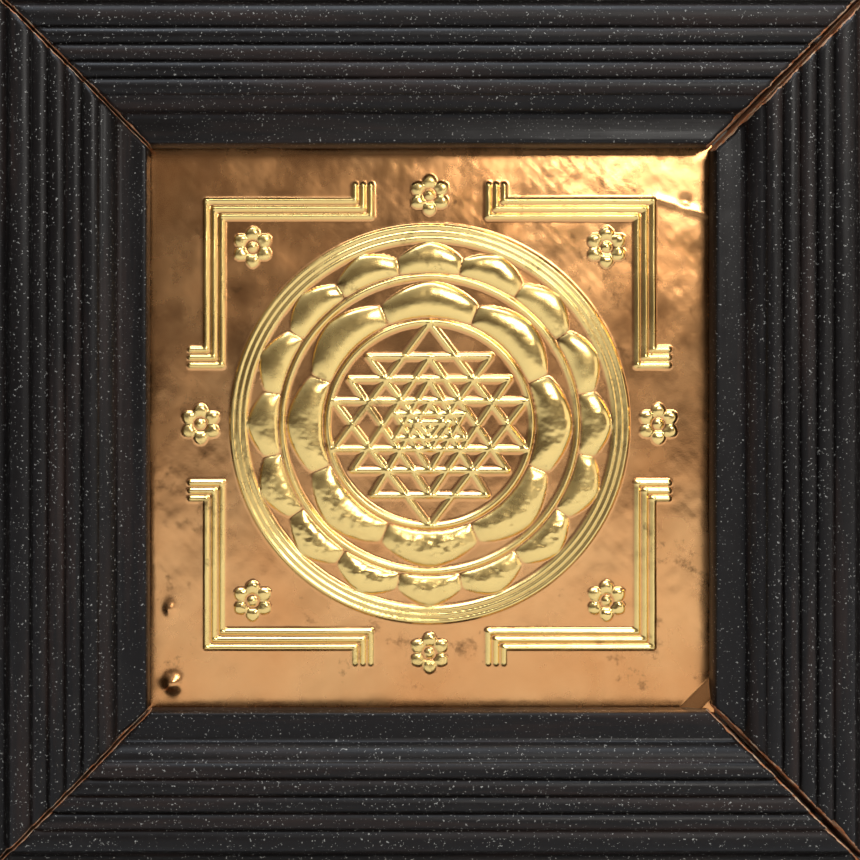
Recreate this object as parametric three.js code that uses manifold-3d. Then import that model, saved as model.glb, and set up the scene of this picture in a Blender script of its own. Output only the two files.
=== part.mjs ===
// Framed shri yantra plate: an embossed copper sheet in a reeded, mitred wooden frame.
// Millimetres. Pieces are built facing +Z (x right, y up) and then stood up to face -Y.

import * as THREE from 'three';
import Module from 'manifold-3d';
import { mergeVertices } from 'three/addons/utils/BufferGeometryUtils.js';

const wasm = await Module();
wasm.setup();

// Clearances
const seat = 0.3; // between a piece and what it rests on
const boreClearance = 0.3; // round a nail or a pin
const runningClearance = 0.3; // between the ring's bar and the strap's barrel

// Frame moulding, from the sight edge outwards
const sightSize = 75; // clear square between the rails
const bandWidth = 3.7;
const shoulderWidth = 1.9;
const reedCount = 4;
const reedWidth = 2.2;
const wideReedWidth = 2.9;
const coveWidth = 2.4;
const beadWidth = 2.3;
const railDepth = 14;
const bandDrop = 3; // the plain band lies this far behind the reeds' crests
const reedRise = 0.9;
const coveDrop = 1.9;
const beadDrop = 0.6;
const beadRise = 1.2;
const lipThickness = 3; // wood in front of the rebate
const rebateWidth = 3;
const tightMitre = 0.3; // joint gap at the two closed corners
const openMitre = 0.8; // joint gap at the two corners that have opened

// Flat pieces in the rebate
const sheetSize = 76.2;
const sheetThickness = 0.3;
const cardThickness = 1.5;
const boardThickness = 2.5;
const boardFit = 0.3; // between a board's edge and the rebate's wall

// Relief on the sheet
const yantraLift = 0.5; // the pattern's centre stands this far above the sheet's
const ridgeFoot = 0.9;
const ridgeTop = 0.4;
const ridgeHeight = 0.45;
const reliefRoot = 0.12; // how far the relief is let into the sheet
const outerRings = [26.5, 25.7, 24.9];
const petalRing = 19.8;
const innerRing = 13.7;
const ringSteps = 48;
const bindu = { radius: 0.55, height: 0.5, drop: 0.55 };
const innerPetals = { count: 8, from: 14.4, to: 19.2, shoulder: 17.4, rise: 0.6, across: 6, along: 3 };
const outerPetals = { count: 16, from: 20.4, to: 24.4, shoulder: 22.6, rise: 0.5, across: 4, along: 3 };
const petalGap = 0.02; // radians between neighbours, in half

// The nine triangles: each base is one of nine level lines, numbered from the top, and each
// apex touches another line or the inner ring
const levels = [9.06, 6.05, 3.1, 1.34, 0.2, -1.9, -3.36, -6.25, -9.6];
const triangles = [
  { line: 1, half: 8.2, apex: 6 },
  { line: 2, half: 10.7, apex: 9 },
  { line: 3, half: 12.9, apex: 'bottom' },
  { line: 4, half: 4.6, apex: 8 },
  { line: 5, half: 2.7, apex: 7 },
  { line: 6, half: 4.7, apex: 2 },
  { line: 7, half: 12.9, apex: 'top' },
  { line: 8, half: 10.4, apex: 1 },
  { line: 9, half: 7.7, apex: 3 },
];

// Square enclosure with a gate in each side
const enclosureHalf = 30; // centre line of the outermost ridge
const enclosureLines = 3;
const enclosurePitch = 1.05;
const gateHalf = 7.9; // centre of the gate to its nearest ridge
const gateStub = 2.1; // how far the ridges run out beyond the enclosure

// Small flower ornaments: one at each gate and one in each corner
const flower = { count: 6, from: 1.05, to: 2.8, shoulder: 2.1, rise: 0.45, across: 2, along: 2 };
const flowerBoss = { radius: 0.85, height: 0.5 };
const gateFlower = 30.8; // centre of the yantra to a gate's flower
const cornerFlower = 23.8; // the same along x and y, to a corner's flower

// Nails and pins
const cornerNail = { shank: 0.6, head: 1.1, headThickness: 0.8, length: 18, point: 1.5 };
const cornerNailInset = 7; // from the frame's top or bottom edge
const cornerNailHeight = 6.5; // from the frame's back
const cornerNailSink = 0.5;
const backingPin = { shank: 0.45, head: 0.8, headThickness: 0.5, length: 12, point: 1.2 };
const backingPinSpread = 18; // from the middle of a rail
const backingPinHold = 6; // length in the wood
const strapNail = { shank: 0.6, head: 1.2, headThickness: 0.6, length: 8, point: 1.5 };
const strapNailPlaces = [3.9, 7.1]; // below the barrel's axis
const nailSides = 10;

// Hanger on the back of the top rail
const wireRadius = 0.9;
const strapThickness = 0.7;
const strapWidth = 8;
const strapTail = 9.4; // below the barrel's axis
const hangerInset = 6; // barrel's axis below the frame's top edge
const ringSideGap = 1.2; // between the barrel's end and the ring's arm
const ringReach = 18.9; // barrel's axis to the middle of the wire at the ring's foot
const ringCorner = 1.5;
const wireSides = 8;
const barrelSides = 20;

// Worked out from the sizes above
const reedsWidth = reedCount * reedWidth + wideReedWidth;
const railWidth = bandWidth + shoulderWidth + reedsWidth + coveWidth + beadWidth;
const overall = sightSize + 2 * railWidth;
const half = overall / 2;
const bandHeight = railDepth - bandDrop;
const lipBack = bandHeight - lipThickness;
const reedFloor = railDepth - reedRise;
const sheetFront = lipBack - seat;
const sheetBack = sheetFront - sheetThickness;
const cardFront = sheetBack - seat;
const boardFront = cardFront - cardThickness - seat;
const pinHeight = boardFront - boardThickness - seat - backingPin.shank;
const rebateHalf = sightSize / 2 + rebateWidth;
const boardSize = 2 * (rebateHalf - boardFit);
const barrelInner = wireRadius + runningClearance;
const barrelOuter = barrelInner + strapThickness;
const barrelDepth = seat + barrelOuter; // barrel's axis behind the frame's back
const hangerStand = barrelDepth + barrelOuter;
const hangerY = half - hangerInset;

// Booleans
function toSolid(geometry) {
  const bare = geometry.clone();
  bare.deleteAttribute('normal');
  bare.deleteAttribute('uv');
  const merged = mergeVertices(bare, 1e-4);
  return new wasm.Manifold(new wasm.Mesh({
    numProp: 3,
    vertProperties: new Float32Array(merged.attributes.position.array),
    triVerts: new Uint32Array(merged.index.array),
  }));
}

function toGeometry(solid) {
  const mesh = solid.getMesh();
  const geometry = new THREE.BufferGeometry();
  geometry.setAttribute('position', new THREE.BufferAttribute(mesh.vertProperties, 3));
  geometry.setIndex(new THREE.BufferAttribute(mesh.triVerts, 1));
  geometry.computeVertexNormals();
  return geometry;
}

function joined(geometries) {
  return geometries.map(toSolid).reduce((whole, piece) => whole.add(piece));
}

// A closed body from points and triangles
function body(points, faces) {
  const geometry = new THREE.BufferGeometry();
  geometry.setAttribute('position', new THREE.Float32BufferAttribute(points.flat(), 3));
  geometry.setIndex(faces.flat());
  geometry.computeVertexNormals();
  return geometry;
}

// Half an ellipse over a floor, from its outer foot to just short of its inner one
function roundOver(start, width, floor, rise, steps) {
  const points = [];
  for (let i = 0; i < steps; i += 1) {
    const angle = (Math.PI * i) / steps;
    const along = start - (width / 2) * (1 - Math.cos(angle));
    points.push(new THREE.Vector2(along, floor + rise * Math.sin(angle)));
  }
  return points;
}

// The moulding's section: x is the distance in from the outer edge, y the height from the back
function railSection() {
  const points = [
    new THREE.Vector2(0, 0),
    new THREE.Vector2(railWidth - rebateWidth, 0),
    new THREE.Vector2(railWidth - rebateWidth, lipBack),
    new THREE.Vector2(railWidth, lipBack),
    new THREE.Vector2(railWidth, bandHeight),
  ];
  let place = railWidth - bandWidth;
  const shoulderSteps = 4;
  for (let i = 0; i < shoulderSteps; i += 1) {
    const angle = (Math.PI / 2) * (i / shoulderSteps);
    const rise = (reedFloor - bandHeight) * Math.sin(angle);
    points.push(new THREE.Vector2(place - shoulderWidth * (1 - Math.cos(angle)), bandHeight + rise));
  }
  place -= shoulderWidth;
  for (let i = 0; i <= reedCount; i += 1) {
    const width = i < reedCount ? reedWidth : wideReedWidth;
    points.push(...roundOver(place, width, reedFloor, reedRise, 6));
    place -= width;
  }
  const coveSteps = 4;
  const beadFloor = railDepth - beadDrop - beadRise;
  for (let i = 0; i < coveSteps; i += 1) {
    const angle = Math.PI * (i / coveSteps);
    const level = THREE.MathUtils.lerp(reedFloor, beadFloor, i / coveSteps);
    const hollow = (coveDrop - reedRise) * Math.sin(angle);
    points.push(new THREE.Vector2(place - (coveWidth * i) / coveSteps, level - hollow));
  }
  place -= coveWidth;
  points.push(...roundOver(place, beadWidth, beadFloor, beadRise, 6));
  points.push(new THREE.Vector2(0, beadFloor));
  return points;
}

// The bottom rail, mitred at both ends
function railGeometry(section, gapStart, gapEnd) {
  const points = [];
  for (const [side, gap] of [[-1, gapStart], [1, gapEnd]]) {
    for (const p of section) {
      points.push([side * (half - p.x - gap * Math.SQRT1_2), p.x - half, p.y]);
    }
  }
  const count = section.length;
  const faces = [];
  for (let i = 0; i < count; i += 1) {
    const next = (i + 1) % count;
    faces.push([i, next, count + next], [i, count + next, count + i]);
  }
  for (const [a, b, c] of THREE.ShapeUtils.triangulateShape(section, [])) {
    faces.push([count + a, count + b, count + c], [c, b, a]);
  }
  return body(points, faces);
}

// A nail along +Y with its point at the far end and its head at y = 0
function nailGeometry(nail, grow = 0) {
  const tip = nail.length + grow;
  const profile = [
    [0, -nail.headThickness],
    [nail.head + grow, -nail.headThickness],
    [nail.head + grow, grow ? grow : 0],
    [nail.shank + grow, grow ? grow : 0],
    [nail.shank + grow, tip - nail.point],
    [0, tip],
  ];
  return new THREE.LatheGeometry(profile.map(([r, y]) => new THREE.Vector2(r, y)), nailSides);
}

// A nail's bore: wider by the clearance, and open where the head went in
function boreGeometry(nail, entry) {
  const bore = nailGeometry(nail, boreClearance);
  const mouth = new THREE.CylinderGeometry(
    nail.head + boreClearance, nail.head + boreClearance, entry, nailSides);
  mouth.translate(0, -nail.headThickness - entry / 2 + boreClearance, 0);
  return toSolid(bore).add(toSolid(mouth));
}

function placedAlong(geometry, origin, direction) {
  const turn = new THREE.Quaternion().setFromUnitVectors(
    new THREE.Vector3(0, 1, 0), new THREE.Vector3(...direction));
  return geometry.clone().applyQuaternion(turn).translate(...origin);
}

// Where every nail and pin sits: its head and the way that it points
const corners = [
  { name: 'top_left', x: -1, y: 1, gap: tightMitre },
  { name: 'top_right', x: 1, y: 1, gap: openMitre },
  { name: 'bottom_right', x: 1, y: -1, gap: openMitre },
  { name: 'bottom_left', x: -1, y: -1, gap: tightMitre },
];
const cornerNails = corners.map(({ name, x, y }) => ({
  name: `corner_nail_${name}`,
  nail: cornerNail,
  origin: [
    x * (half - cornerNailSink - cornerNail.headThickness),
    y * (half - cornerNailInset),
    cornerNailHeight,
  ],
  direction: [-x, 0, 0],
}));

const rails = [
  { name: 'bottom', angle: 0, sides: ['left', 'right'] },
  { name: 'right', angle: Math.PI / 2, sides: ['lower', 'upper'] },
  { name: 'top', angle: Math.PI, sides: ['right', 'left'] },
  { name: 'left', angle: -Math.PI / 2, sides: ['upper', 'lower'] },
];
const backingPins = rails.flatMap(({ name, angle, sides }) => sides.map((side, i) => {
  const along = (i ? 1 : -1) * backingPinSpread;
  const head = rebateHalf + backingPinHold - backingPin.length;
  const zAxis = new THREE.Vector3(0, 0, 1);
  const origin = new THREE.Vector3(along, -head, pinHeight).applyAxisAngle(zAxis, angle);
  const direction = new THREE.Vector3(0, -1, 0).applyAxisAngle(zAxis, angle);
  return {
    name: `backing_pin_${name}_${side}`,
    nail: backingPin,
    origin: origin.toArray(),
    direction: direction.toArray(),
  };
}));

const strapNails = strapNailPlaces.map((below, i) => ({
  name: i ? 'hanger_nail_lower' : 'hanger_nail_upper',
  nail: strapNail,
  origin: [0, hangerY - below, -seat - strapThickness - seat],
  direction: [0, 0, 1],
}));

function bores(list, entry) {
  return list.map(({ nail, origin, direction }) => {
    const bore = toGeometry(boreGeometry(nail, entry));
    return toSolid(placedAlong(bore, origin, direction));
  }).reduce((whole, piece) => whole.add(piece));
}

// Relief ridges, petals and bosses, on a face at height 0
function ridgeSection() {
  return new THREE.Shape([
    new THREE.Vector2(-ridgeFoot / 2, -reliefRoot),
    new THREE.Vector2(ridgeFoot / 2, -reliefRoot),
    new THREE.Vector2(ridgeTop / 2, ridgeHeight),
    new THREE.Vector2(-ridgeTop / 2, ridgeHeight),
  ]);
}

function straightRidge(from, to) {
  const start = new THREE.Vector3(from[0], from[1], 0);
  const along = new THREE.Vector3(to[0], to[1], 0).sub(start);
  const length = along.length();
  along.normalize();
  const across = new THREE.Vector3(-along.y, along.x, 0);
  const overrun = ridgeTop / 2; // closes the corner where two ridges meet
  const geometry = new THREE.ExtrudeGeometry(ridgeSection(), {
    depth: length + 2 * overrun,
    bevelEnabled: false,
  });
  geometry.translate(0, 0, -overrun);
  const basis = new THREE.Matrix4().makeBasis(across, new THREE.Vector3(0, 0, 1), along);
  return geometry.applyMatrix4(basis.setPosition(start));
}

function roundRidge(radius) {
  const profile = [
    [radius - ridgeFoot / 2, -reliefRoot],
    [radius + ridgeFoot / 2, -reliefRoot],
    [radius + ridgeTop / 2, ridgeHeight],
    [radius - ridgeTop / 2, ridgeHeight],
    [radius - ridgeFoot / 2, -reliefRoot],
  ];
  const points = profile.map(([r, y]) => new THREE.Vector2(r, y));
  return new THREE.LatheGeometry(points, ringSteps).rotateX(Math.PI / 2);
}

// A domed petal with a bowed, pointed outer edge, centred at an angle from +y
function petal(spec, angle) {
  const spread = Math.PI / spec.count - petalGap * Math.min(1, spec.from / petalRing);
  const points = [];
  const place = (i, j, height) => {
    const t = (2 * i) / spec.across - 1;
    const s = j / spec.along;
    const outer = spec.shoulder + (spec.to - spec.shoulder) * (1 - Math.abs(t) ** 1.5);
    const radius = THREE.MathUtils.lerp(spec.from, outer, s);
    const turn = angle + t * spread;
    return [radius * Math.sin(turn), radius * Math.cos(turn), height];
  };
  const columns = spec.along + 1;
  for (let layer = 0; layer < 2; layer += 1) {
    for (let i = 0; i <= spec.across; i += 1) {
      for (let j = 0; j <= spec.along; j += 1) {
        const inside = i > 0 && i < spec.across && j > 0 && j < spec.along;
        const crown = 1 - Math.abs((2 * i) / spec.across - 1) ** 2.5 * 0.5;
        const top = inside ? spec.rise * crown : spec.rise * 0.15;
        points.push(place(i, j, layer ? top : -reliefRoot));
      }
    }
  }
  const layerSize = (spec.across + 1) * columns;
  const faces = [];
  for (let i = 0; i < spec.across; i += 1) {
    for (let j = 0; j < spec.along; j += 1) {
      const a = i * columns + j;
      const b = a + columns;
      faces.push([a, b + 1, b], [a, a + 1, b + 1]);
      const top = a + layerSize;
      faces.push([top, top + columns, top + columns + 1], [top, top + columns + 1, top + 1]);
    }
  }
  const rim = [];
  for (let j = 0; j < spec.along; j += 1) rim.push(j);
  for (let i = 0; i < spec.across; i += 1) rim.push(i * columns + spec.along);
  for (let j = spec.along; j > 0; j -= 1) rim.push(spec.across * columns + j);
  for (let i = spec.across; i > 0; i -= 1) rim.push(i * columns);
  rim.forEach((a, n) => {
    const b = rim[(n + 1) % rim.length];
    faces.push([a, b + layerSize, b], [a, a + layerSize, b + layerSize]);
  });
  return body(points, faces);
}

function petalWheel(spec) {
  return Array.from({ length: spec.count }, (_, i) => petal(spec, (2 * Math.PI * i) / spec.count));
}

function boss(spec) {
  const profile = [
    [0, -reliefRoot],
    [spec.radius, -reliefRoot],
    [spec.radius * 0.8, spec.height * 0.6],
    [0, spec.height],
  ];
  const points = profile.map(([r, y]) => new THREE.Vector2(r, y));
  return new THREE.LatheGeometry(points, 8).rotateX(Math.PI / 2);
}

function flowerAt(x, y) {
  return [...petalWheel(flower), boss(flowerBoss)].map((geometry) => geometry.translate(x, y, 0));
}

function triangleRidges({ line, half: halfBase, apex }) {
  const base = levels[line - 1];
  const ends = { top: innerRing, bottom: -innerRing };
  const tip = apex in ends ? ends[apex] : levels[apex - 1];
  const pointsRound = [[-halfBase, base], [halfBase, base], [0, tip]];
  return pointsRound.map((from, i) => straightRidge(from, pointsRound[(i + 1) % 3]));
}

function enclosureRidges() {
  const ridges = [];
  for (const { x, y } of corners) {
    for (let k = 0; k < enclosureLines; k += 1) {
      const line = enclosureHalf - k * enclosurePitch;
      const gate = gateHalf + (enclosureLines - 1 - k) * enclosurePitch;
      const end = enclosureHalf + gateStub;
      const route = [[gate, end], [gate, line], [line, line], [line, gate], [end, gate]];
      for (let i = 0; i + 1 < route.length; i += 1) {
        const [from, to] = [route[i], route[i + 1]].map(([a, b]) => [a * x, b * y]);
        ridges.push(straightRidge(from, to));
      }
    }
  }
  return ridges;
}

function yantraSheet() {
  const flowers = [[0, 1], [0, -1], [1, 0], [-1, 0]].flatMap(
    ([x, y]) => flowerAt(x * gateFlower, y * gateFlower));
  const cornerFlowers = corners.flatMap(
    ({ x, y }) => flowerAt(x * cornerFlower, y * cornerFlower));
  const relief = [
    ...outerRings.map(roundRidge),
    roundRidge(petalRing),
    roundRidge(innerRing),
    ...petalWheel(outerPetals),
    ...petalWheel(innerPetals),
    ...triangles.flatMap(triangleRidges),
    boss(bindu).translate(0, -bindu.drop, 0),
    ...enclosureRidges(),
    ...flowers,
    ...cornerFlowers,
  ].map((geometry) => geometry.translate(0, yantraLift, sheetFront));
  const slab = new THREE.BoxGeometry(sheetSize, sheetSize, sheetThickness);
  slab.translate(0, 0, sheetFront - sheetThickness / 2);
  return toGeometry(joined([slab, ...relief]));
}

// The strap: a barrel for the ring's bar, and a tail on the rail's back with two nail holes
function strapGeometry() {
  const barrel = new THREE.Shape().absarc(0, 0, barrelOuter, 0, 2 * Math.PI);
  barrel.holes.push(new THREE.Path().absarc(0, 0, barrelInner, 0, 2 * Math.PI, true));
  const tube = new THREE.ExtrudeGeometry(barrel, {
    depth: strapWidth,
    bevelEnabled: false,
    curveSegments: barrelSides,
  });
  tube.translate(0, 0, -strapWidth / 2).rotateY(Math.PI / 2);
  tube.translate(0, hangerY, -barrelDepth);
  const tail = new THREE.BoxGeometry(strapWidth, strapTail, strapThickness);
  tail.translate(0, hangerY - strapTail / 2, -seat - strapThickness / 2);
  const bar = new THREE.CylinderGeometry(barrelInner, barrelInner, strapWidth * 2, barrelSides);
  bar.rotateZ(Math.PI / 2).translate(0, hangerY, -barrelDepth);
  return toSolid(tube).add(toSolid(tail)).subtract(toSolid(bar));
}

// The ring: a straight bar through the barrel, two arms and a round foot, in one closed wire
function ringGeometry() {
  const reach = strapWidth / 2 + ringSideGap + wireRadius;
  const foot = ringReach - reach;
  const path = [];
  const arc = (x, y, radius, from, to, steps) => {
    for (let i = 0; i <= steps; i += 1) {
      const angle = THREE.MathUtils.lerp(from, to, i / steps);
      path.push({
        at: new THREE.Vector2(x + radius * Math.cos(angle), y + radius * Math.sin(angle)),
        out: new THREE.Vector2(Math.cos(angle), Math.sin(angle)),
      });
    }
  };
  arc(-reach + ringCorner, -ringCorner, ringCorner, Math.PI / 2, Math.PI, 4);
  arc(0, -foot, reach, Math.PI, 2 * Math.PI, 14);
  arc(reach - ringCorner, -ringCorner, ringCorner, 0, Math.PI / 2, 4);
  const points = [];
  for (const { at, out } of path) {
    for (let k = 0; k < wireSides; k += 1) {
      const angle = (2 * Math.PI * k) / wireSides;
      const across = wireRadius * Math.cos(angle);
      const depth = wireRadius * Math.sin(angle);
      points.push([at.x + out.x * across, hangerY + at.y + out.y * across, depth - barrelDepth]);
    }
  }
  const faces = [];
  for (let i = 0; i < path.length; i += 1) {
    for (let k = 0; k < wireSides; k += 1) {
      const a = i * wireSides + k;
      const b = i * wireSides + ((k + 1) % wireSides);
      const next = ((i + 1) % path.length) * wireSides - i * wireSides;
      faces.push([a, a + next, b + next], [a, b + next, b]);
    }
  }
  return body(points, faces);
}

// Finishes
const finishes = {
  blackWood: { color: 0x17120f, roughness: 0.5, metalness: 0 },
  gildedCopper: { color: 0xc47a3a, roughness: 0.25, metalness: 1 },
  greyCard: { color: 0x8d8577, roughness: 0.95, metalness: 0 },
  hardboard: { color: 0x6b452a, roughness: 0.85, metalness: 0 },
  steel: { color: 0x8f8f8c, roughness: 0.4, metalness: 1 },
  brassPlate: { color: 0xb08d4a, roughness: 0.35, metalness: 1 },
};

const plaque = new THREE.Group();
const upright = new THREE.Group();
upright.rotation.x = Math.PI / 2;
upright.position.set(0, (railDepth - hangerStand) / 2, half);
plaque.add(upright);

function addPiece(name, geometry, finish) {
  const mesh = new THREE.Mesh(geometry, new THREE.MeshStandardMaterial(finishes[finish]));
  mesh.name = name;
  upright.add(mesh);
}

// The four rails, bored for what is driven into them
const section = railSection();
const gapAt = Object.fromEntries(corners.map(({ name, gap }) => [name, gap]));
const railEnds = {
  bottom: ['bottom_left', 'bottom_right'],
  right: ['bottom_right', 'top_right'],
  top: ['top_right', 'top_left'],
  left: ['top_left', 'bottom_left'],
};
const cornerBores = bores(cornerNails, 2);
const pinBores = bores(backingPins, 0.5);
const strapBores = bores(strapNails, 2);
for (const { name, angle } of rails) {
  const [start, end] = railEnds[name];
  const rail = railGeometry(section, gapAt[start], gapAt[end]).rotateZ(angle);
  let solid = toSolid(rail).subtract(cornerBores).subtract(pinBores);
  if (name === 'top') solid = solid.subtract(strapBores);
  addPiece(`rail_${name}`, toGeometry(solid), 'blackWood');
}

addPiece('yantra_sheet', yantraSheet(), 'gildedCopper');
const card = new THREE.BoxGeometry(boardSize, boardSize, cardThickness);
addPiece('mount_card', card.translate(0, 0, cardFront - cardThickness / 2), 'greyCard');
const board = new THREE.BoxGeometry(boardSize, boardSize, boardThickness);
addPiece('back_board', board.translate(0, 0, boardFront - boardThickness / 2), 'hardboard');

for (const { name, nail, origin, direction } of [...cornerNails, ...backingPins, ...strapNails]) {
  addPiece(name, placedAlong(nailGeometry(nail), origin, direction), 'steel');
}

const strap = strapGeometry().subtract(strapBores);
addPiece('hanger_strap', toGeometry(strap), 'brassPlate');
addPiece('hanger_ring', ringGeometry(), 'steel');

export default plaque;
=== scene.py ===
# dresses the framed yantra plate: fine embossed sheet, worn reeded rails, plain hardware
import bmesh
import bpy
import math
import numpy as np
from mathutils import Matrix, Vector


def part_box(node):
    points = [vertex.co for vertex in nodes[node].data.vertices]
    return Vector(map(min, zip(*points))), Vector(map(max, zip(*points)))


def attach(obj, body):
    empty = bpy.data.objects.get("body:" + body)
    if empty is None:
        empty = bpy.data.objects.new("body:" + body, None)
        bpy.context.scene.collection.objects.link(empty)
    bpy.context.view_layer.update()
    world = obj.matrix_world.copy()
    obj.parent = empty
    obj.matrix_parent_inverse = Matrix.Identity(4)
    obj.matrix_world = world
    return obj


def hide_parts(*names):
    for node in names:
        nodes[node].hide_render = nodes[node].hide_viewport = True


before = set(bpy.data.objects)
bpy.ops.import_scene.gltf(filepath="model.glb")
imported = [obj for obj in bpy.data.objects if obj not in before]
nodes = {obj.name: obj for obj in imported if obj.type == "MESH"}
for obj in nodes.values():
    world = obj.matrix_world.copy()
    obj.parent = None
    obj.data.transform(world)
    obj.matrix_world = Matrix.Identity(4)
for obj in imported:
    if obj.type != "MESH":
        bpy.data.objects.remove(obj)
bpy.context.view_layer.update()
mm = 0.001

# where the frame says things are
outerHalf = (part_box("rail_right")[1][0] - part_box("rail_left")[0][0]) / 2 / mm
centreZ = outerHalf  # middle of the opening above the bottom edge
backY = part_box("rail_bottom")[1][1] / mm  # flat back of the rails
sheetLow, sheetHigh = [np.array(c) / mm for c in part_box("yantra_sheet")]
sheetThick = 0.3
sheetFaceY = sheetHigh[1] - sheetThick
print("frame loaded, half width", round(float(outerHalf), 2), "mm")


# camera: a close phone shot, a little left of the middle
camera = {
    "x": -10.0, "above": 2.0, "fromArris": 141.0,
    "arrisY": -6.05, "seenWidth": 113.0, "shiftX": 0.087, "shiftY": -0.0198,
}
camData = bpy.data.cameras.new("camera")
camData.sensor_width = 36
camData.lens = 36 * camera["fromArris"] / camera["seenWidth"]
camData.shift_x = camera["shiftX"]
camData.shift_y = camera["shiftY"]
camData.clip_start = 0.001
camObject = bpy.data.objects.new("camera", camData)
camObject.location = (
    camera["x"] * mm, (camera["arrisY"] - camera["fromArris"]) * mm,
    (centreZ + camera["above"]) * mm)
camObject.rotation_euler = (math.radians(90), 0, 0)
bpy.context.scene.collection.objects.link(camObject)
bpy.context.scene.camera = camObject
bpy.context.scene.view_settings.view_transform = "Standard"


# small helpers for node materials
def newMaterial(name, metallic=0.0, roughness=0.5):
    material = bpy.data.materials.new(name)
    material.use_nodes = True
    shader = material.node_tree.nodes["Principled BSDF"]
    shader.inputs["Metallic"].default_value = metallic
    shader.inputs["Roughness"].default_value = roughness
    return material, material.node_tree, shader


def addNode(tree, kind, **settings):
    node = tree.nodes.new(kind)
    for key, value in settings.items():
        if key in node.inputs:
            node.inputs[key].default_value = value
        else:
            setattr(node, key, value)
    return node


def noiseAt(tree, scale, detail=4.0, stretch=(1, 1, 1), roughness=0.55):
    place = addNode(tree, "ShaderNodeTexCoord")
    mapping = addNode(tree, "ShaderNodeMapping", Scale=stretch)
    noise = addNode(tree, "ShaderNodeTexNoise", Scale=scale, Detail=detail, Roughness=roughness)
    tree.links.new(place.outputs["Object"], mapping.inputs["Vector"])
    tree.links.new(mapping.outputs["Vector"], noise.inputs["Vector"])
    return noise.outputs["Fac"]


def ramp(tree, source, stops):
    node = tree.nodes.new("ShaderNodeValToRGB")
    elements = node.color_ramp.elements
    while len(elements) > len(stops):
        elements.remove(elements[-1])
    while len(elements) < len(stops):
        elements.new(0.5)
    for element, (position, value) in zip(elements, stops):
        element.position = position
        grey = (value, value, value) if isinstance(value, (int, float)) else value
        element.color = (*grey, 1)
    tree.links.new(source, node.inputs["Fac"])
    return node.outputs["Color"]


def mix(tree, factor, a, b):
    node = tree.nodes.new("ShaderNodeMix")
    node.data_type = "RGBA"
    sockets = {s.identifier: s for s in node.inputs}
    for key, value in (("Factor_Float", factor), ("A_Color", a), ("B_Color", b)):
        if isinstance(value, bpy.types.NodeSocket):
            tree.links.new(value, sockets[key])
        elif key == "Factor_Float":
            sockets[key].default_value = value
        else:
            sockets[key].default_value = (*value, 1)
    return {s.identifier: s for s in node.outputs}["Result_Color"]


def bump(tree, shader, heights):
    previous = None
    for source, strength, distance in heights:
        node = addNode(tree, "ShaderNodeBump", Strength=strength, Distance=distance * mm)
        tree.links.new(source, node.inputs["Height"])
        if previous:
            tree.links.new(previous, node.inputs["Normal"])
        previous = node.outputs["Normal"]
    tree.links.new(previous, shader.inputs["Normal"])


# finishes
# the lighter, yellower copper tone for the raised relief is a painted highlight
copper = {
    "flat": (0.72, 0.33, 0.12), "paintedHighlight": (0.93, 0.66, 0.24), "tarnish": (0.16, 0.075, 0.03),
    "wrinkle": 0.05, "scratch": 0.015,
}


def gildedCopper():
    material, tree, shader = newMaterial("gildedCopper", metallic=1.0)
    lift = addNode(tree, "ShaderNodeAttribute", attribute_name="lift").outputs["Fac"]
    # ridges and domes are mixed towards the lighter tone by their height: painted highlight on the raised
    # relief
    paintedHighlightAmount = ramp(tree, lift, [(0.12, 0.0), (0.5, 1.0)])
    flatTone = mix(tree, ramp(tree, noiseAt(tree, 60, 5), [(0.35, 0.0), (0.65, 1.0)]),
                   copper["flat"], (0.80, 0.42, 0.17))
    copperAndPaintedHighlight = mix(tree, paintedHighlightAmount, flatTone, copper["paintedHighlight"])
    stain = ramp(tree, noiseAt(tree, 190, 8, roughness=0.7), [(0.60, 0.0), (0.70, 0.75)])
    tree.links.new(mix(tree, stain, copperAndPaintedHighlight, copper["tarnish"]), shader.inputs["Base Color"])
    roughness = ramp(tree, noiseAt(tree, 130, 6), [(0.3, 0.16), (0.7, 0.34)])
    tree.links.new(roughness, shader.inputs["Roughness"])
    bump(tree, shader, [
        (noiseAt(tree, 520, 3), 0.35, copper["wrinkle"]),
        (noiseAt(tree, 2600, 2), 0.25, copper["scratch"]),
    ])
    return material


wood = {
    "paint": (0.006, 0.0045, 0.004), "worn": (0.022, 0.012, 0.009), "shine": 0.22,
    "grainScale": 1500, "coarseScale": 420, "chipScale": 900, "speckScale": 3400, "filmScale": 240,
    "fibre": (0.42, 0.15, 0.055), "filler": (0.50, 0.40, 0.27), "dust": (0.34, 0.33, 0.30),
}


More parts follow.
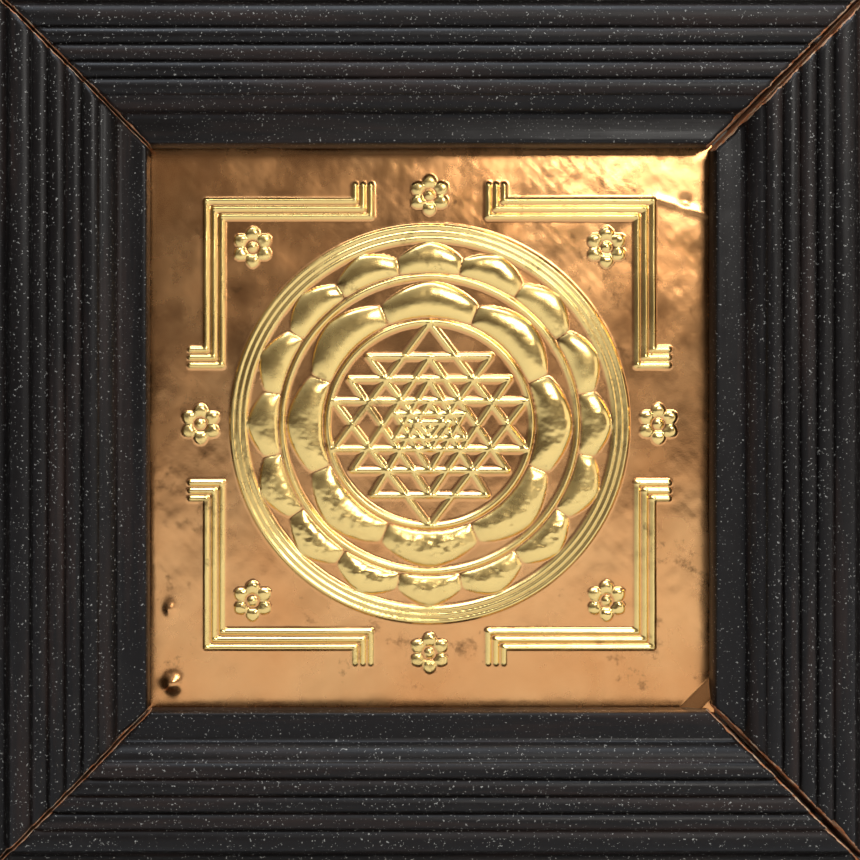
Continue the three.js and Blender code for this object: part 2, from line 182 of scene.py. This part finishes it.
def paintedWood(name, alongX):
    material, tree, shader = newMaterial(name)
    shader.inputs["Specular IOR Level"].default_value = wood["shine"]
    stretch = (0.06, 1, 1) if alongX else (1, 1, 0.06)
    grain = noiseAt(tree, wood["grainScale"], 5, stretch)
    coarseGrain = noiseAt(tree, wood["coarseScale"], 4, stretch)
    paint = mix(tree, ramp(tree, coarseGrain, [(0.5, 0.0), (0.72, 1.0)]), wood["paint"], wood["worn"])
    bare = addNode(tree, "ShaderNodeAttribute", attribute_name="bare").outputs["Fac"]
    ragged = addNode(tree, "ShaderNodeMath", operation="MULTIPLY_ADD")
    tree.links.new(noiseAt(tree, wood["chipScale"], 6, (1, 1, 1), 0.7), ragged.inputs[0])
    ragged.inputs[1].default_value = 0.9
    tree.links.new(bare, ragged.inputs[2])
    bareMask = ramp(tree, ragged.outputs["Value"], [(0.98, 0.0), (1.0, 1.0)])
    fibres = mix(tree, ramp(tree, grain, [(0.4, 0.0), (0.7, 1.0)]), wood["fibre"], wood["filler"])
    withChips = mix(tree, bareMask, paint, fibres)
    specks = ramp(tree, noiseAt(tree, wood["speckScale"], 2), [(0.66, 0.0), (0.70, 0.8)])
    film = ramp(tree, noiseAt(tree, wood["filmScale"], 7, (1, 1, 1), 0.75), [(0.5, 0.0), (0.85, 0.02)])
    dusty = mix(tree, film, mix(tree, specks, withChips, wood["dust"]), wood["dust"])
    tree.links.new(dusty, shader.inputs["Base Color"])
    tree.links.new(ramp(tree, coarseGrain, [(0.3, 0.34), (0.75, 0.6)]), shader.inputs["Roughness"])
    bump(tree, shader, [(coarseGrain, 0.5, 0.10), (grain, 0.5, 0.05), (bareMask, 0.4, 0.15)])
    return material


def plainFinish(name, colours, roughnesses, metallic=0.0, scale=300, stretch=(1, 1, 1), depth=0.03):
    material, tree, shader = newMaterial(name, metallic)
    pattern = noiseAt(tree, scale, 6, stretch)
    tone = ramp(tree, pattern, [(0.35, colours[0]), (0.65, colours[1])])
    tree.links.new(tone, shader.inputs["Base Color"])
    tree.links.new(ramp(tree, pattern, [(0.3, roughnesses[0]), (0.7, roughnesses[1])]),
                   shader.inputs["Roughness"])
    bump(tree, shader, [(noiseAt(tree, scale * 5, 3, stretch), 0.4, depth)])
    return material


finishes = {
    "gildedCopper": gildedCopper(),
    "woodAlongX": paintedWood("blackWoodAcross", True),
    "woodAlongZ": paintedWood("blackWoodUpright", False),
    "card": plainFinish("greyCard", [(0.30, 0.28, 0.24), (0.38, 0.35, 0.30)], (0.85, 0.95)),
    "board": plainFinish("hardboard", [(0.13, 0.06, 0.025), (0.24, 0.12, 0.05)], (0.7, 0.9), scale=900),
    "wire": plainFinish("steelWire", [(0.30, 0.30, 0.29), (0.48, 0.48, 0.47)], (0.3, 0.5), 1.0, 700),
    "brass": plainFinish("brassPlate", [(0.50, 0.34, 0.12), (0.66, 0.47, 0.18)], (0.25, 0.45), 1.0, 500),
}
print("finishes made")


# meshes from grids of points
def gridMesh(name, points, attributes):
    rows, columns = points.shape[:2]
    mesh = bpy.data.meshes.new(name)
    index = np.arange(rows * columns).reshape(rows, columns)
    corners = [index[:-1, :-1], index[1:, :-1], index[1:, 1:], index[:-1, 1:]]
    quads = np.stack(corners, -1).reshape(-1, 4)
    mesh.from_pydata((points.reshape(-1, 3) * mm).tolist(), [], quads.tolist())
    for key, values in attributes.items():
        layer = mesh.attributes.new(key, "FLOAT", "POINT")
        layer.data.foreach_set("value", values.astype(np.float32).ravel())
    mesh.polygons.foreach_set("use_smooth", [True] * len(mesh.polygons))
    return mesh


def addPiece(name, mesh, material, replaced):
    piece = bpy.data.objects.new(name, mesh)
    mesh.materials.append(material)
    bpy.context.scene.collection.objects.link(piece)
    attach(piece, "plaque")
    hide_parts(replaced)
    return piece


# the embossed sheet, as heights over its face; x and y are mm from the yantra's centre
sheet = {
    "cells": 440, "lift": 0.5, "ridgeHalf": 0.36, "ridgeRise": 0.42,
    "rings": [26.5, 25.7, 24.9, 19.8, 13.7],
    "levels": [9.06, 6.05, 3.1, 1.34, 0.2, -1.9, -3.36, -6.25, -9.6],
    "enclosure": 30.0, "enclosurePitch": 1.05, "gate": 7.9, "stub": 2.1,
    "gateFlower": 30.8, "cornerFlower": 23.8, "bindu": 0.55, "shell": 0.12,
}
# damage to the thin metal; places are mm from the sheet's middle
damage = {
    "creaseFrom": (30.6, 30.8), "creaseTo": (37.8, 28.5), "creaseHigh": 0.09, "creaseHalf": 0.55,
    "dent": (34.4, 30.6), "dentDeep": 0.15, "dentRadius": 0.8,
    "drop": (-34.9, -24.4), "dropHigh": 0.4, "dropRadius": 0.7, "dropStretch": 0.7,
    "curl": (-34.6, -34.3), "curlHigh": 0.8, "curlRadius": 1.1,
    "foldStart": 71.2, "foldRun": 2.5, "foldHigh": 0.9,
}
# base level, half width, apex level or ring
triangles = [
    (1, 8.2, 6), (2, 10.7, 9), (3, 12.9, "bottom"), (4, 4.6, 8), (5, 2.7, 7),
    (6, 4.7, 2), (7, 12.9, "top"), (8, 10.4, 1), (9, 7.7, 3),
]
wheels = {
    "inner": {"count": 8, "start": 14.4, "end": 19.2, "shoulder": 17.2, "rise": 0.85},
    "outer": {"count": 16, "start": 20.4, "end": 24.5, "shoulder": 22.6, "rise": 0.72},
    "flower": {"count": 6, "start": 1.0, "end": 2.8, "shoulder": 2.0, "rise": 0.45},
}


def segmentDistance(x, y, a, b):
    ax, ay = a
    dx, dy = b[0] - ax, b[1] - ay
    t = np.clip(((x - ax) * dx + (y - ay) * dy) / (dx * dx + dy * dy), 0, 1)
    return np.hypot(x - ax - t * dx, y - ay - t * dy)


def ridge(distance):
    return sheet["ridgeRise"] * np.exp(-np.abs(distance / sheet["ridgeHalf"]) ** 2.6)


def petalDomes(x, y, wheel):
    radius = np.hypot(x, y)
    sector = 2 * np.pi / wheel["count"]
    turn = np.arctan2(x, y)
    t = np.abs((turn + sector / 2) % sector - sector / 2) / (sector / 2)
    outer = wheel["shoulder"] + (wheel["end"] - wheel["shoulder"]) * (1 - t ** 1.5)
    s = np.clip((radius - wheel["start"]) / (outer - wheel["start"]), 0, 1)
    crown = np.clip(1 - t ** 3, 0, 1) ** 0.6
    return wheel["rise"] * crown * np.clip(4 * s * (1 - s), 0, 1) ** 0.55


def softNoise(x, y, scale, seed, octaves=3):
    source = np.random.default_rng(seed)
    total = np.zeros_like(x)
    weight = 1.0
    for octave in range(octaves):
        for _ in range(7):
            angle = source.uniform(0, 2 * np.pi)
            rate = 2 * np.pi / scale * 2 ** octave * source.uniform(0.6, 1.4)
            phase = source.uniform(0, 2 * np.pi)
            total += weight * np.sin((x * np.cos(angle) + y * np.sin(angle)) * rate + phase)
        weight *= 0.5
    return total / 7


def yantraHeight(x, y):
    levels, top = sheet["levels"], sheet["rings"][-1]
    ridges = [ridge(np.hypot(x, y) - radius) for radius in sheet["rings"]]
    for level, halfBase, apex in triangles:
        tip = {"top": top, "bottom": -top}.get(apex)
        tip = levels[apex - 1] if tip is None else tip
        base = levels[level - 1]
        corners = [(-halfBase, base), (halfBase, base), (0, tip)]
        for i in range(3):
            ridges.append(ridge(segmentDistance(x, y, corners[i], corners[(i + 1) % 3])))
    end = sheet["enclosure"] + sheet["stub"]
    for k in range(3):
        line = sheet["enclosure"] - k * sheet["enclosurePitch"]
        gate = sheet["gate"] + (2 - k) * sheet["enclosurePitch"]
        route = [(gate, end), (gate, line), (line, line), (line, gate), (end, gate)]
        for a, b in zip(route, route[1:]):
            ridges.append(ridge(segmentDistance(np.abs(x), np.abs(y), a, b)))
    height = np.sum([r ** 4 for r in ridges], axis=0) ** 0.25
    domes = petalDomes(x, y, wheels["inner"]) + petalDomes(x, y, wheels["outer"])
    g, c = sheet["gateFlower"], sheet["cornerFlower"]
    places = [(0, g), (0, -g), (g, 0), (-g, 0), (c, c), (c, -c), (-c, c), (-c, -c)]
    for px, py in places:
        domes += petalDomes(x - px, y - py, wheels["flower"])
        domes += 0.45 * np.exp(-(np.hypot(x - px, y - py) / 0.6) ** 3)
    domes += 0.5 * np.exp(-(np.hypot(x, y + sheet["bindu"]) / 0.5) ** 3)
    creased = softNoise(x, y, 2.2, 5) * np.clip(0.4 - y / 25, 0.15, 1)
    return height, domes, domes * (1 + 0.13 * creased)


def embossedSheet():
    half = (sheetHigh[0] - sheetLow[0]) / 2
    line = np.linspace(-half, half, sheet["cells"])
    x, up = np.meshgrid(line, line, indexing="ij")
    ridges, domes, creasedDomes = yantraHeight(x, up - sheet["lift"])
    relief = np.maximum(ridges, creasedDomes)
    lift = np.clip(np.maximum(ridges, domes) / 0.42, 0, 1)
    # slow buckling of the thin metal, none at its edges, which the frame holds
    held = np.clip((half - np.maximum(np.abs(x), np.abs(up))) / 2.5, 0, 1)
    buckle = held * (0.10 * softNoise(x, up, 26, 11) + 0.035 * softNoise(x, up, 6, 17))
    # crease and dent in the upper right, drop low on the left, folded and curled lower corners
    fromCrease = segmentDistance(x, up, damage["creaseFrom"], damage["creaseTo"])
    crease = damage["creaseHigh"] * np.exp(-(fromCrease / damage["creaseHalf"]) ** 2)
    dx, dy = damage["dent"]
    dent = damage["dentDeep"] * np.exp(-(np.hypot(x - dx, up - dy) / damage["dentRadius"]) ** 2)
    dx, dy = damage["drop"]
    fromDrop = np.hypot(x - dx, (up - dy) * damage["dropStretch"])
    drop = damage["dropHigh"] * np.exp(-(fromDrop / damage["dropRadius"]) ** 2)
    folded = damage["foldHigh"] * np.clip((x - up - damage["foldStart"]) / damage["foldRun"], 0, 1)
    dx, dy = damage["curl"]
    curl = damage["curlHigh"] * np.exp(-(np.hypot(x - dx, up - dy) / damage["curlRadius"]) ** 2)
    height = relief + buckle + crease - dent + drop + folded + curl
    height = np.clip(height, -sheetThick * 0.8, 1.1)
    points = np.stack([x, sheetFaceY - height, up + centreZ], -1)
    mesh = gridMesh("yantraSheet", points, {"lift": lift})
    piece = addPiece("yantraSheet", mesh, finishes["gildedCopper"], "yantra_sheet")
    thick = piece.modifiers.new("thickness", "SOLIDIFY")
    thick.thickness = sheet["shell"] * mm
    thick.offset = -1
    return piece


embossedSheet()
print("embossed sheet made")


# the moulding, from the sight edge outwards, with its height over the back
moulding = {
    "rail": 22.0, "depth": 14.0, "rebate": 3.0, "lip": 3.0, "band": 3.7, "bandDrop": 3.0,
    "shoulder": 1.9, "reeds": [2.2, 2.2, 2.2, 2.2, 2.9], "reedRise": 0.88, "cove": 2.4, "bead": 2.3,
    "coveDrop": 1.0, "beadFloor": 12.2, "beadRise": 1.15, "stations": 220,
}
mitreGaps = {"topLeft": 0.3, "topRight": 0.8, "bottomRight": 0.8, "bottomLeft": 0.3}


def mouldingSection():
    rail, depth, rebate = moulding["rail"], moulding["depth"], moulding["rebate"]
    band = depth - moulding["bandDrop"]
    floor = depth - 0.9
    lip = band - moulding["lip"]
    points = [(rail - rebate, 0), (rail - rebate, lip), (rail, lip), (rail, lip + 1.5), (rail, band - 0.15)]
    place = rail - 0.15
    points.append((place, band))
    inner = rail - moulding["band"]
    for t in np.linspace(0.15, 1, 6):
        points.append((place + (inner - place) * t, band - 0.12 * math.sin(math.pi * t)))
    for angle in np.linspace(0.12, 1, 8)[:-1] * math.pi / 2:
        points.append((inner - moulding["shoulder"] * (1 - math.cos(angle)),
                       band + (floor - band) * math.sin(angle)))
    place = inner - moulding["shoulder"]
    for width in moulding["reeds"]:
        for angle in np.linspace(0, math.pi, 11)[:-1]:
            points.append((place - width / 2 * (1 - math.cos(angle)),
                           floor + moulding["reedRise"] * math.sin(angle)))
        place -= width
    for t in np.linspace(0, 1, 9)[:-1]:
        points.append((place - moulding["cove"] * t,
                       floor + (moulding["beadFloor"] - floor) * t
                       - moulding["coveDrop"] * math.sin(math.pi * t)))
    place -= moulding["cove"]
    for angle in np.linspace(0, math.pi, 12):
        points.append((place - moulding["bead"] / 2 * (1 - math.cos(angle)),
                       moulding["beadFloor"] + moulding["beadRise"] * math.sin(angle)))
    points += [(0, 9), (0, 6), (0, 3), (0, 0), (rail - rebate, 0)]
    return np.array(points)


# quarter turns that carry the bottom rail to each side
railSides = [
    ("rail_bottom", 0, "bottomLeft", "bottomRight", "woodAlongX", 1),
    ("rail_right", 1, "bottomRight", "topRight", "woodAlongZ", 2),
    ("rail_top", 2, "topRight", "topLeft", "woodAlongX", 3),
    ("rail_left", 3, "topLeft", "bottomLeft", "woodAlongZ", 4),
]


def wornRail(node, turns, startGap, endGap, finish, seed):
    section = mouldingSection()
    inward = section[:, 0]
    along = np.sin(np.linspace(-1, 1, moulding["stations"]) * math.pi / 2) * 0.5
    along = along + np.linspace(-1, 1, moulding["stations"]) * 0.5
    reach = outerHalf - inward
    # ragged ends: each side of the joint has its own small losses, more where it stands open
    chips = [np.abs(softNoise(inward, inward * 0 + seed + side * 9, 3.0, seed + side)) for side in (0, 1)]
    ends = []
    for side, corner in ((0, startGap), (1, endGap)):
        gap = mitreGaps[corner]
        ends.append(reach - gap * math.sqrt(0.5) - (0.12 + 0.45 * gap) * chips[side])
    # the joint stands open at the front and stays closed behind
    deep = section[:, 1] <= 9
    ends = [np.where(deep, reach - mitreGaps["bottomLeft"] / 2, end) for end in ends]
    t = along[:, None]
    length = np.where(t < 0, t * ends[0][None, :], t * ends[1][None, :])
    wave = 0.05 * softNoise(length, inward[None, :] + length * 0, 9, seed + 20)
    outward = np.repeat(inward[None, :], len(along), 0)
    height = np.repeat(section[None, :, 1], len(along), 0)
    front = height > 9
    height = height + np.where(front, wave - 0.05, 0)
    # the ends wear down a little
    toEnd = (1 - np.abs(t)) * outerHalf
    height = height - np.where(front, 0.35 * np.exp(-(toEnd / 0.5) ** 2) * np.abs(1 + wave * 6), 0)
    bare = np.exp(-(toEnd / 0.55) ** 1.2) * 0.55 * np.ones_like(height)
    gapBoost = np.where(t < 0, mitreGaps[startGap], mitreGaps[endGap])
    bare = np.clip(bare * (0.7 + gapBoost), 0, 0.75)
    x, y = length, outward - outerHalf
    for _ in range(turns):
        x, y = -y, x
    points = np.stack([x, backY - height, y + centreZ], -1)
    mesh = gridMesh(node + "_worn", points, {"bare": bare})
    # close the two ends
    count = len(section) - 1
    rows = len(along)
    faces = [list(p.vertices) for p in mesh.polygons]
    ring0 = list(range(count))
    ring1 = [(rows - 1) * (count + 1) + i for i in range(count)]
    whole = bpy.data.meshes.new(node + "_worn")
    whole.from_pydata([v.co[:] for v in mesh.vertices], [], faces + [ring0, ring1[::-1]])
    layer = whole.attributes.new("bare", "FLOAT", "POINT")
    values = np.array(bare, dtype=np.float32)
    values[0, :] = values[-1, :] = 0.8
    layer.data.foreach_set("value", values.ravel())
    smooth = [True] * (len(whole.polygons) - 2) + [False, False]
    whole.polygons.foreach_set("use_smooth", smooth)
    weldAndFace(whole)
    return addPiece(node + "_worn", whole, finishes[finish], node)


def weldAndFace(mesh):
    work = bmesh.new()
    work.from_mesh(mesh)
    bmesh.ops.remove_doubles(work, verts=work.verts, dist=0.002 * mm)
    bmesh.ops.recalc_face_normals(work, faces=work.faces)
    work.to_mesh(mesh)
    work.free()


for side in railSides:
    wornRail(*side)
print("rails made")


# the pieces that keep their shape get their finish
keptFinishes = {"mount_card": "card", "back_board": "board", "hanger_strap": "brass"}
for name, node in nodes.items():
    if name in ("yantra_sheet",) or name.startswith("rail_"):
        continue
    finish = finishes[keptFinishes.get(name, "wire")]
    if node.data.materials:
        node.data.materials[0] = finish
    else:
        node.data.materials.append(finish)


# studio: pale floor, soft key from the upper right, wide weak fill
def paleFloor():
    mesh = bpy.data.meshes.new("floor")
    size = 2.0
    around = [(-size, -size, 0), (size, -size, 0), (size, size, 0), (-size, size, 0)]
    mesh.from_pydata(around, [], [(0, 1, 2, 3)])
    floor = bpy.data.objects.new("floor", mesh)
    material, tree, shader = newMaterial("paleFloor", roughness=0.9)
    tree.links.new(ramp(tree, noiseAt(tree, 3, 2), [(0.4, 0.70), (0.6, 0.73)]), shader.inputs["Base Color"])
    mesh.materials.append(material)
    bpy.context.scene.collection.objects.link(floor)


lamps = [
    {"name": "window", "place": (0.20, -0.46, 0.30), "size": (0.20, 0.14), "power": 1.3,
     "colour": (1.0, 0.97, 0.92)},
    {"name": "skylight", "place": (0.02, -0.16, 0.62), "size": (0.5, 0.3), "power": 3.2,
     "colour": (0.80, 0.89, 1.0)},
    {"name": "rightFill", "place": (0.55, -0.30, 0.10), "size": (0.3, 0.3), "power": 0.35,
     "colour": (1.0, 0.93, 0.85)},
]
target = np.array([0, 0, centreZ * mm])


def addLamp(spec):
    data = bpy.data.lights.new(spec["name"], "AREA")
    data.shape = "RECTANGLE"
    data.size, data.size_y = spec["size"]
    data.energy = spec["power"]
    data.color = spec["colour"]
    lamp = bpy.data.objects.new(spec["name"], data)
    lamp.location = spec["place"]
    lamp.rotation_euler = (Vector(target) - Vector(spec["place"])).to_track_quat("-Z", "Y").to_euler()
    bpy.context.scene.collection.objects.link(lamp)


paleFloor()
for spec in lamps:
    addLamp(spec)

world = bpy.data.worlds.new("studio")
bpy.context.scene.world = world
world.use_nodes = True
worldTree = world.node_tree
background = worldTree.nodes["Background"]
place = worldTree.nodes.new("ShaderNodeTexCoord")
split = worldTree.nodes.new("ShaderNodeSeparateXYZ")
worldTree.links.new(place.outputs["Generated"], split.inputs["Vector"])
skyStops = [(0.0, (0.10, 0.08, 0.07)), (0.3, (0.22, 0.20, 0.19)), (0.9, (0.75, 0.78, 0.84))]
sky = ramp(worldTree, split.outputs["Z"], skyStops)
worldTree.links.new(sky, background.inputs["Color"])
background.inputs["Strength"].default_value = 0.7
print("studio made")
